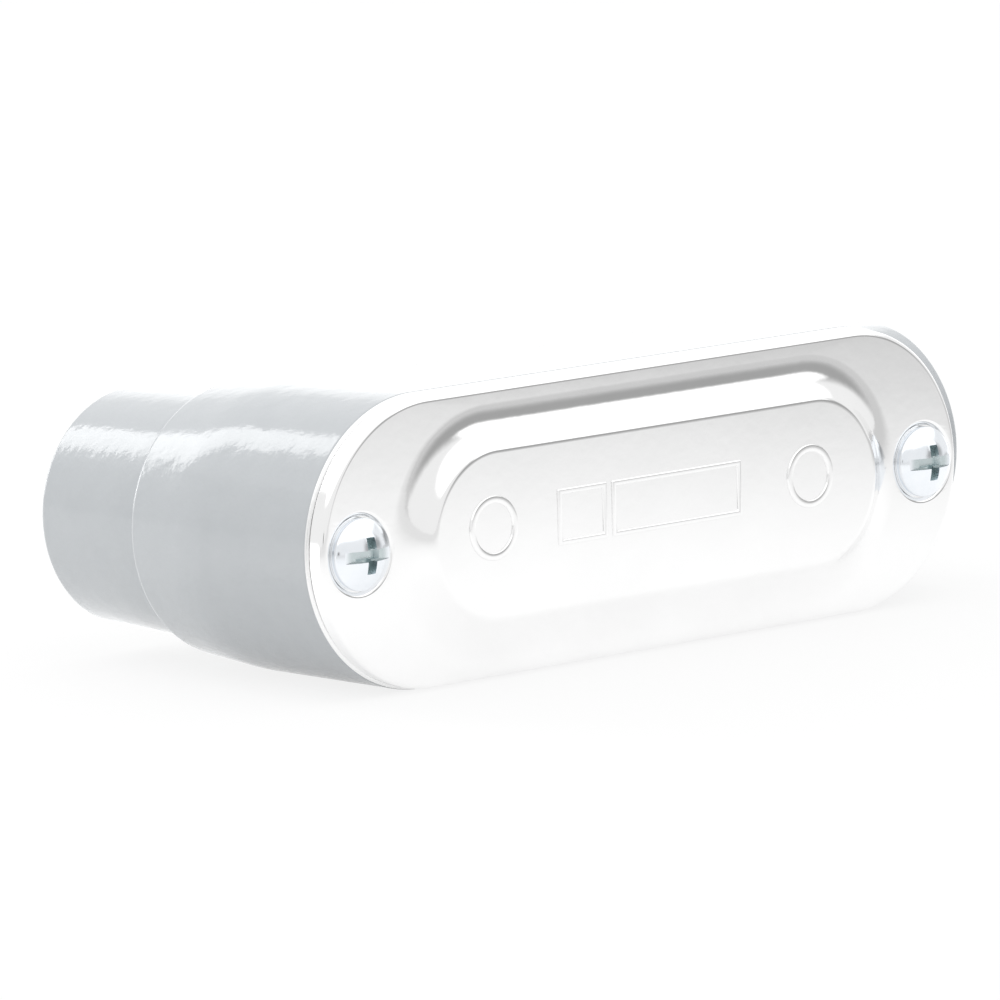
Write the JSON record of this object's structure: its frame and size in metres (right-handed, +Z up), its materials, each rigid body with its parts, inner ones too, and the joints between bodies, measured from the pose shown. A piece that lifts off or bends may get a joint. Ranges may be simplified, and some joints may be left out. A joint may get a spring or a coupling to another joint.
{
  "type": "conduit body",
  "caption": "Elbow conduit body: cast trough with two threaded hubs at right angles, and a gasketed cover held by screws.",
  "frame": {"origin": "middle of the footprint, on the surface that the fitting lies on", "axes": "+X along the run, out of the end hub; +Y out of the back hub, away from the cover; +Z up, with the fitting lying on its side as in the picture"},
  "size_m": [0.1228, 0.0604, 0.0387],
  "materials": {
    "painted_casting": "glossy light grey paint over an aluminium casting",
    "gasket_rubber": "matt black sheet",
    "cover_sheet": "bright satin sheet, drawn and polished",
    "plated_screw": "bright zinc plating"
  },
  "bodies": {
    "root": {"conduit_body": "painted_casting", "cover_gasket": "gasket_rubber", "cover": "cover_sheet", "cover_screw_left": "plated_screw", "cover_screw_right": "plated_screw"}
  },
  "joints": []
}
